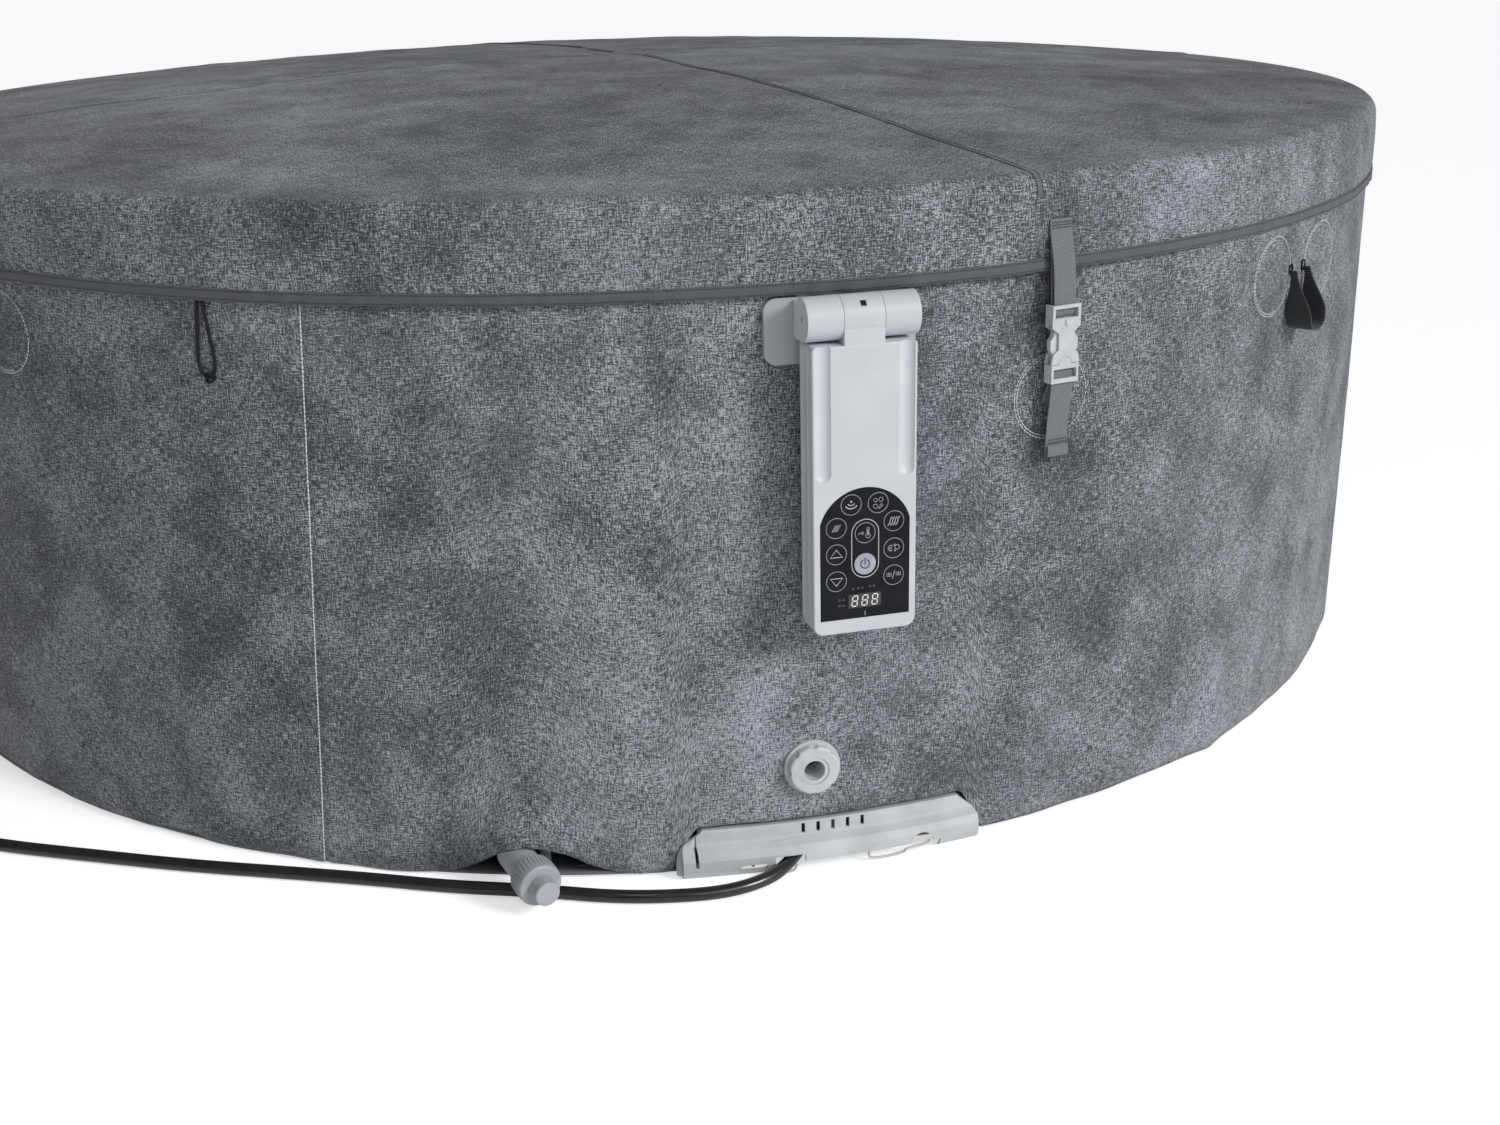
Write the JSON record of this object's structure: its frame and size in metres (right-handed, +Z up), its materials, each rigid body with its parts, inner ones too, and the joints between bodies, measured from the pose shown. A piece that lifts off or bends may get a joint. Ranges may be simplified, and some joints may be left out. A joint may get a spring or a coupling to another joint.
{
  "type": "spa cover",
  "caption": "Fabric lid and side wrap on a round inflatable spa tub, with side-release buckles, hanging keypad controller, built-in wall machine, drain valve and mains cord.",
  "frame": {"origin": "centre of the tub's base, on the ground", "axes": "+Z up; -Y is the front of the tub, between the drain valve and the controller"},
  "size_m": [2.054, 2.1282, 0.752],
  "materials": {
    "grey_cloth": "woven laminated cloth with a mottled stone-grey print",
    "hem_tape": "flat woven binding tape",
    "webbing": "grey polypropylene webbing",
    "black_webbing": "black ribbed webbing",
    "patch_cloth": "stitched cloth reinforcement",
    "tub_vinyl": "soft dark grey vinyl",
    "lining_foil": "silvered insulating lining",
    "controller_plastic": "satin off-white plastic",
    "base_plastic": "satin off-white plastic",
    "buckle_plastic": "light grey acetal",
    "drain_plastic": "light grey plastic",
    "fitting_plastic": "off-white plastic",
    "case_plastic": "grey plastic",
    "keypad_gloss": "charcoal film",
    "power_key_silver": "silver printed film",
    "display_gloss": "dark display window",
    "circuit_board": "green laminate",
    "machine_black": "black plastic",
    "heater_steel": "brushed steel",
    "filter_paper": "pleated filter cloth",
    "seal_rubber": "black rubber",
    "cord_black": "glossy black cable sheath",
    "draw_cord_black": "black elastic cord"
  },
  "bodies": {
    "tub": {"outer_wrap": "grey_cloth", "wall_straps": "webbing", "handle_straps": "black_webbing", "wrap_patches": "patch_cloth", "tub_floor": "tub_vinyl", "wall_bladder": "tub_vinyl", "tie_beams": "tub_vinyl", "hanger_bracket": "controller_plastic", "machine_base": "base_plastic", "buckle_plugs": "buckle_plastic", "drain_body": "drain_plastic", "air_port": "fitting_plastic", "port_nut": "fitting_plastic", "wall_valve": "fitting_plastic", "filter_base": "fitting_plastic", "bubble_duct": "fitting_plastic", "water_pipes": "fitting_plastic", "machine_case": "case_plastic", "circulation_pump": "machine_black", "air_blower": "machine_black", "heater_tube": "heater_steel", "hinge_pin": "heater_steel", "cord_gland": "cord_black", "power_cord": "cord_black", "power_cord_coil": "cord_black", "mains_plug": "cord_black"},
    "lid": {"lid_skirt": "grey_cloth", "lid_top": "grey_cloth", "lid_hem": "hem_tape", "lid_bladder": "tub_vinyl", "lid_lining": "lining_foil", "lid_straps": "webbing", "buckle_sockets": "buckle_plastic", "draw_cord": "draw_cord_black"},
    "controller": {"controller_back": "controller_plastic", "controller_front": "controller_plastic", "keypad_film": "keypad_gloss", "display_module": "display_gloss", "controller_board": "circuit_board"},
    "drain_seal": {"drain_seal": "seal_rubber"},
    "drain_cap": {"drain_cap": "drain_plastic"},
    "filter_cartridge": {"filter_cartridge": "filter_paper"},
    "wireless_key": {"wireless_key": "keypad_gloss"},
    "bubble_key": {"bubble_key": "keypad_gloss"},
    "filter_key": {"filter_key": "keypad_gloss"},
    "up_key": {"up_key": "keypad_gloss"},
    "down_key": {"down_key": "keypad_gloss"},
    "heat_key": {"heat_key": "keypad_gloss"},
    "ozone_key": {"ozone_key": "keypad_gloss"},
    "jet_key": {"jet_key": "keypad_gloss"},
    "timer_key": {"timer_key": "keypad_gloss"},
    "power_key": {"power_key": "power_key_silver"},
    "buckle_arm_1_left": {"buckle_arm_1_left": "buckle_plastic"},
    "buckle_arm_1_right": {"buckle_arm_1_right": "buckle_plastic"},
    "buckle_arm_2_left": {"buckle_arm_2_left": "buckle_plastic"},
    "buckle_arm_2_right": {"buckle_arm_2_right": "buckle_plastic"},
    "buckle_arm_3_left": {"buckle_arm_3_left": "buckle_plastic"},
    "buckle_arm_3_right": {"buckle_arm_3_right": "buckle_plastic"},
    "buckle_arm_4_left": {"buckle_arm_4_left": "buckle_plastic"},
    "buckle_arm_4_right": {"buckle_arm_4_right": "buckle_plastic"}
  },
  "joints": [
    {"name": "lid_lift", "type": "slide", "parent": "tub", "child": "lid", "axis": [0, 0, 1], "range_m": [0, 0.4]},
    {"name": "controller_fold", "type": "hinge", "parent": "tub", "child": "controller", "pos_m": [0.20847, -1.03114, 0.585], "axis": [-0.9802, -0.1982, 0], "range_deg": [0, 180]},
    {"name": "drain_cap_travel", "type": "slide", "parent": "tub", "child": "drain_seal", "axis": [0.4357, -0.8974, -0.0698], "range_m": [0, 0.012]},
    {"name": "drain_cap_spin", "type": "hinge", "parent": "drain_seal", "child": "drain_cap", "pos_m": [-0.14513, -1.01972, 0.036], "axis": [0.4357, -0.8974, -0.0698], "range_deg": [0, 1080]},
    {"name": "filter_twist", "type": "hinge", "parent": "tub", "child": "filter_cartridge", "pos_m": [0.21917, -0.78292, 0.15], "axis": [0.1857, -0.9826, 0], "range_deg": [0, 60]},
    {"name": "wireless_press", "type": "slide", "parent": "controller", "child": "wireless_key", "axis": [-0.1982, 0.9802, 0], "range_m": [0, 0.0004], "stiffness_N_per_m": 400},
    {"name": "bubble_press", "type": "slide", "parent": "controller", "child": "bubble_key", "axis": [-0.1982, 0.9802, 0], "range_m": [0, 0.0004], "stiffness_N_per_m": 400},
    {"name": "filter_press", "type": "slide", "parent": "controller", "child": "filter_key", "axis": [-0.1982, 0.9802, 0], "range_m": [0, 0.0004], "stiffness_N_per_m": 400},
    {"name": "up_press", "type": "slide", "parent": "controller", "child": "up_key", "axis": [-0.1982, 0.9802, 0], "range_m": [0, 0.0004], "stiffness_N_per_m": 400},
    {"name": "down_press", "type": "slide", "parent": "controller", "child": "down_key", "axis": [-0.1982, 0.9802, 0], "range_m": [0, 0.0004], "stiffness_N_per_m": 400},
    {"name": "heat_press", "type": "slide", "parent": "controller", "child": "heat_key", "axis": [-0.1982, 0.9802, 0], "range_m": [0, 0.0004], "stiffness_N_per_m": 400},
    {"name": "ozone_press", "type": "slide", "parent": "controller", "child": "ozone_key", "axis": [-0.1982, 0.9802, 0], "range_m": [0, 0.0004], "stiffness_N_per_m": 400},
    {"name": "jet_press", "type": "slide", "parent": "controller", "child": "jet_key", "axis": [-0.1982, 0.9802, 0], "range_m": [0, 0.0004], "stiffness_N_per_m": 400},
    {"name": "timer_press", "type": "slide", "parent": "controller", "child": "timer_key", "axis": [-0.1982, 0.9802, 0], "range_m": [0, 0.0004], "stiffness_N_per_m": 400},
    {"name": "power_press", "type": "slide", "parent": "controller", "child": "power_key", "axis": [-0.1982, 0.9802, 0], "range_m": [0, 0.0004], "stiffness_N_per_m": 400},
    {"name": "arm_squeeze_1_left", "type": "hinge", "parent": "tub", "child": "buckle_arm_1_left", "pos_m": [0.41292, -0.95129, 0.5095], "axis": [-0.4067, 0.9135, 0], "range_deg": [0, 7], "stiffness_Nm_per_rad": 0.05},
    {"name": "arm_squeeze_1_right", "type": "hinge", "parent": "tub", "child": "buckle_arm_1_right", "pos_m": [0.43065, -0.9434, 0.5095], "axis": [0.4067, -0.9135, 0], "range_deg": [0, 7], "stiffness_Nm_per_rad": 0.05},
    {"name": "arm_squeeze_2_left", "type": "hinge", "parent": "tub", "child": "buckle_arm_2_left", "pos_m": [0.95129, 0.41292, 0.5095], "axis": [-0.9135, -0.4067, 0], "range_deg": [0, 7], "stiffness_Nm_per_rad": 0.05},
    {"name": "arm_squeeze_2_right", "type": "hinge", "parent": "tub", "child": "buckle_arm_2_right", "pos_m": [0.9434, 0.43065, 0.5095], "axis": [0.9135, 0.4067, 0], "range_deg": [0, 7], "stiffness_Nm_per_rad": 0.05},
    {"name": "arm_squeeze_3_left", "type": "hinge", "parent": "tub", "child": "buckle_arm_3_left", "pos_m": [-0.41292, 0.95129, 0.5095], "axis": [0.4067, -0.9135, 0], "range_deg": [0, 7], "stiffness_Nm_per_rad": 0.05},
    {"name": "arm_squeeze_3_right", "type": "hinge", "parent": "tub", "child": "buckle_arm_3_right", "pos_m": [-0.43065, 0.9434, 0.5095], "axis": [-0.4067, 0.9135, 0], "range_deg": [0, 7], "stiffness_Nm_per_rad": 0.05},
    {"name": "arm_squeeze_4_left", "type": "hinge", "parent": "tub", "child": "buckle_arm_4_left", "pos_m": [-0.95129, -0.41292, 0.5095], "axis": [0.9135, 0.4067, 0], "range_deg": [0, 7], "stiffness_Nm_per_rad": 0.05},
    {"name": "arm_squeeze_4_right", "type": "hinge", "parent": "tub", "child": "buckle_arm_4_right", "pos_m": [-0.9434, -0.43065, 0.5095], "axis": [-0.9135, -0.4067, 0], "range_deg": [0, 7], "stiffness_Nm_per_rad": 0.05}
  ],
  "couplings": [
    {"joint": "drain_cap_travel", "follows": "drain_cap_spin", "m_per_rad": 0.00047746}
  ]
}
